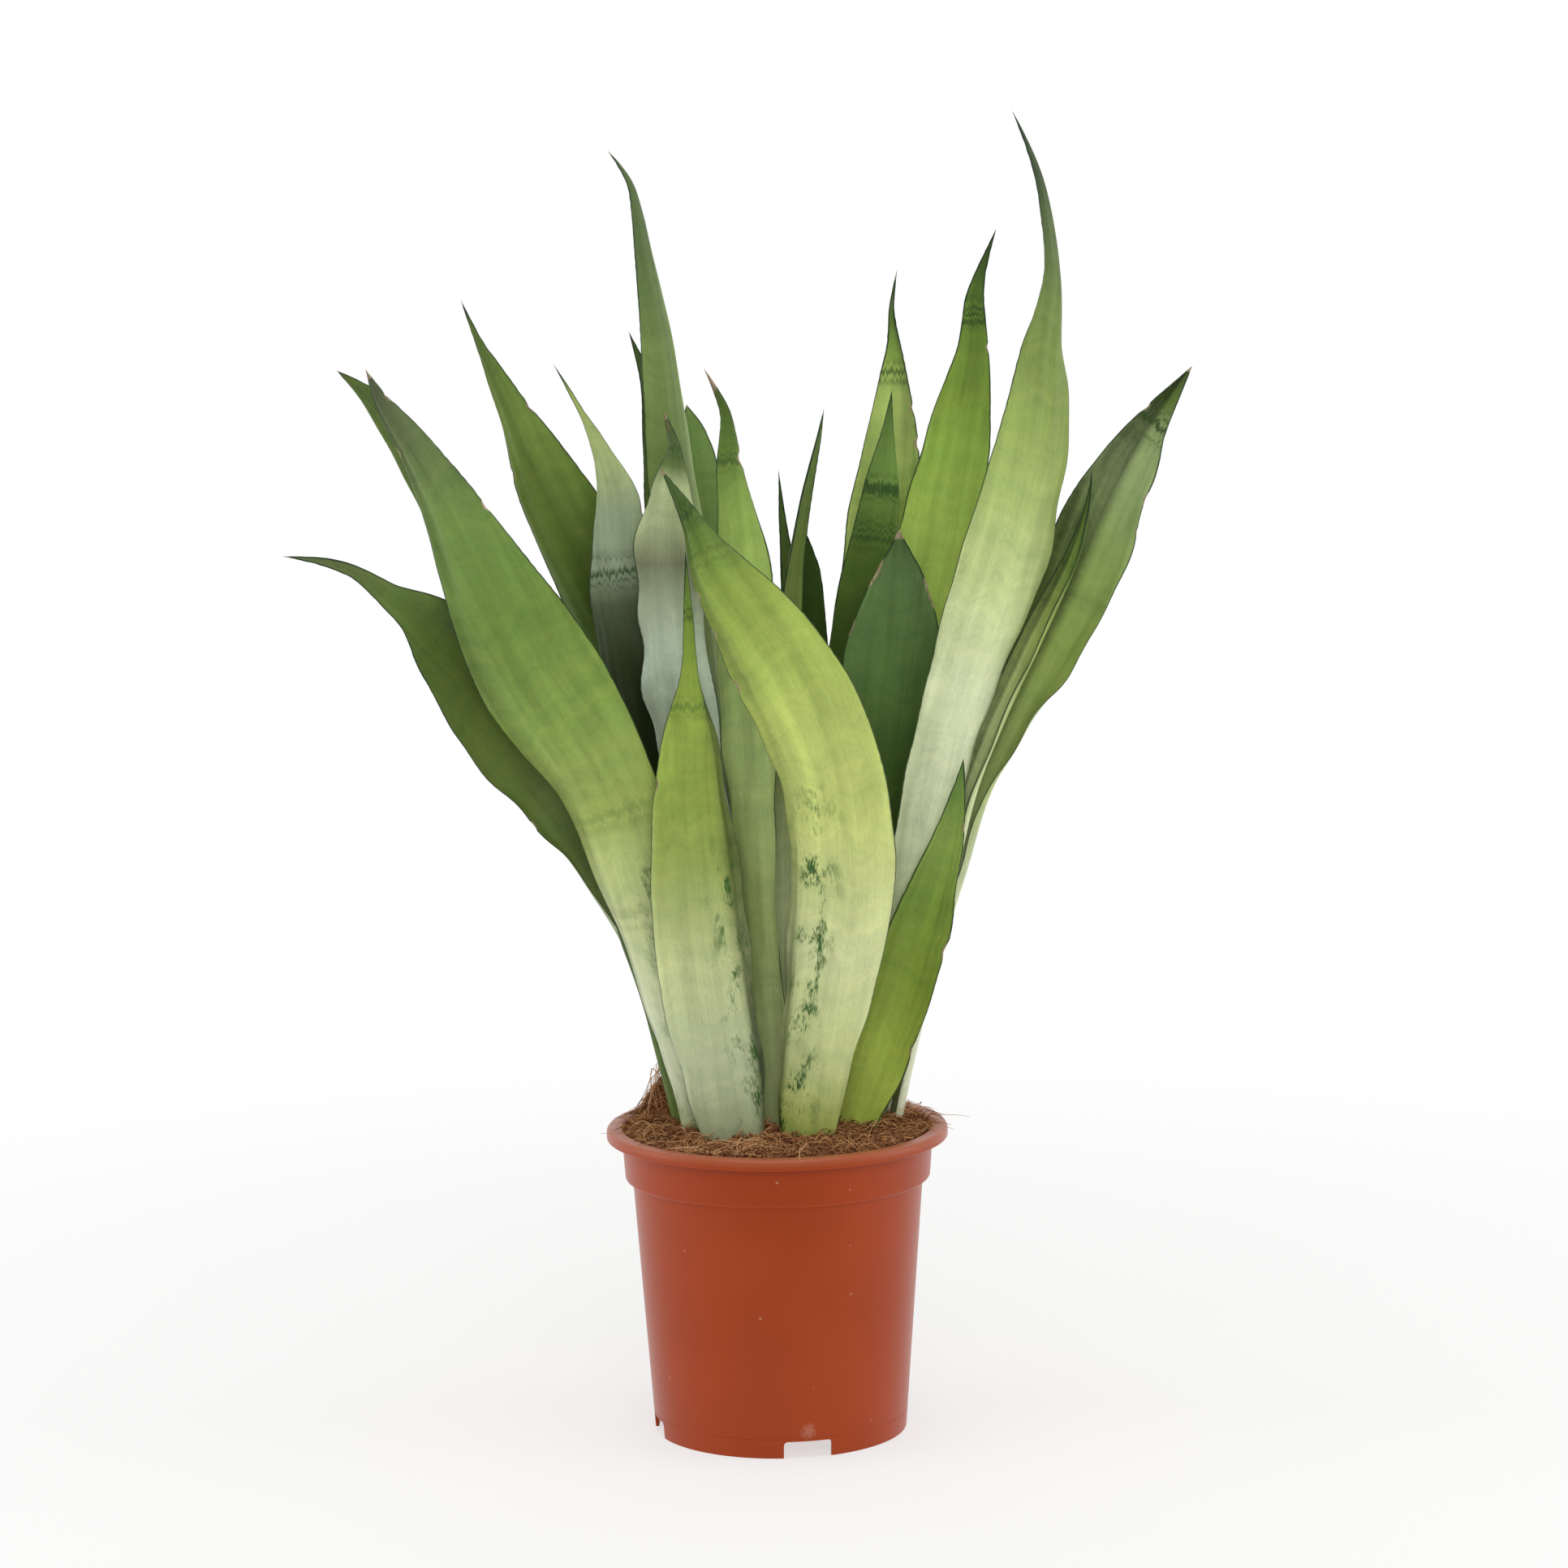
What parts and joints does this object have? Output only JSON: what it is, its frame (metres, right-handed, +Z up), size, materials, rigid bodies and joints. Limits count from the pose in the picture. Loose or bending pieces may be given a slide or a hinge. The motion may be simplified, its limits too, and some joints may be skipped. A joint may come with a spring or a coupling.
{
  "type": "potted snake plant",
  "caption": "Snake plant with stiff upright channelled leaves, growing in coir mix in a round terracotta-coloured moulded nursery pot.",
  "frame": {"origin": "middle of the pot's foot, on the plane that it stands on", "axes": "+Z up along the pot's axis, -Y to the front of the plant, +X to its right"},
  "size_m": [0.447, 0.1703, 0.653],
  "materials": {
    "pot": "satin moulded plastic",
    "mix": "loose coir fibre, matte",
    "leaf": "waxy leaf skin, satin"
  },
  "bodies": {
    "root": {"nursery_pot": "pot", "potting_mix": "mix", "leaf_front_left": "leaf", "leaf_front_arching": "leaf", "leaf_front_right_short": "leaf", "leaf_left_broad": "leaf", "leaf_left_low": "leaf", "leaf_left_sliver": "leaf", "leaf_left_rear": "leaf", "leaf_upper_left": "leaf", "leaf_silver_left": "leaf", "leaf_tall_left": "leaf", "leaf_behind_tall_left": "leaf", "leaf_silver_wavy": "leaf", "leaf_rear_centre": "leaf", "leaf_dry_tip": "leaf", "leaf_inner_strip": "leaf", "leaf_spike": "leaf", "leaf_dark_rear": "leaf", "leaf_rear_right": "leaf", "leaf_banded": "leaf", "leaf_dark_broad": "leaf", "leaf_rear_striped": "leaf", "leaf_tall_right": "leaf", "leaf_far_right": "leaf", "leaf_right_folded": "leaf"}
  },
  "joints": []
}
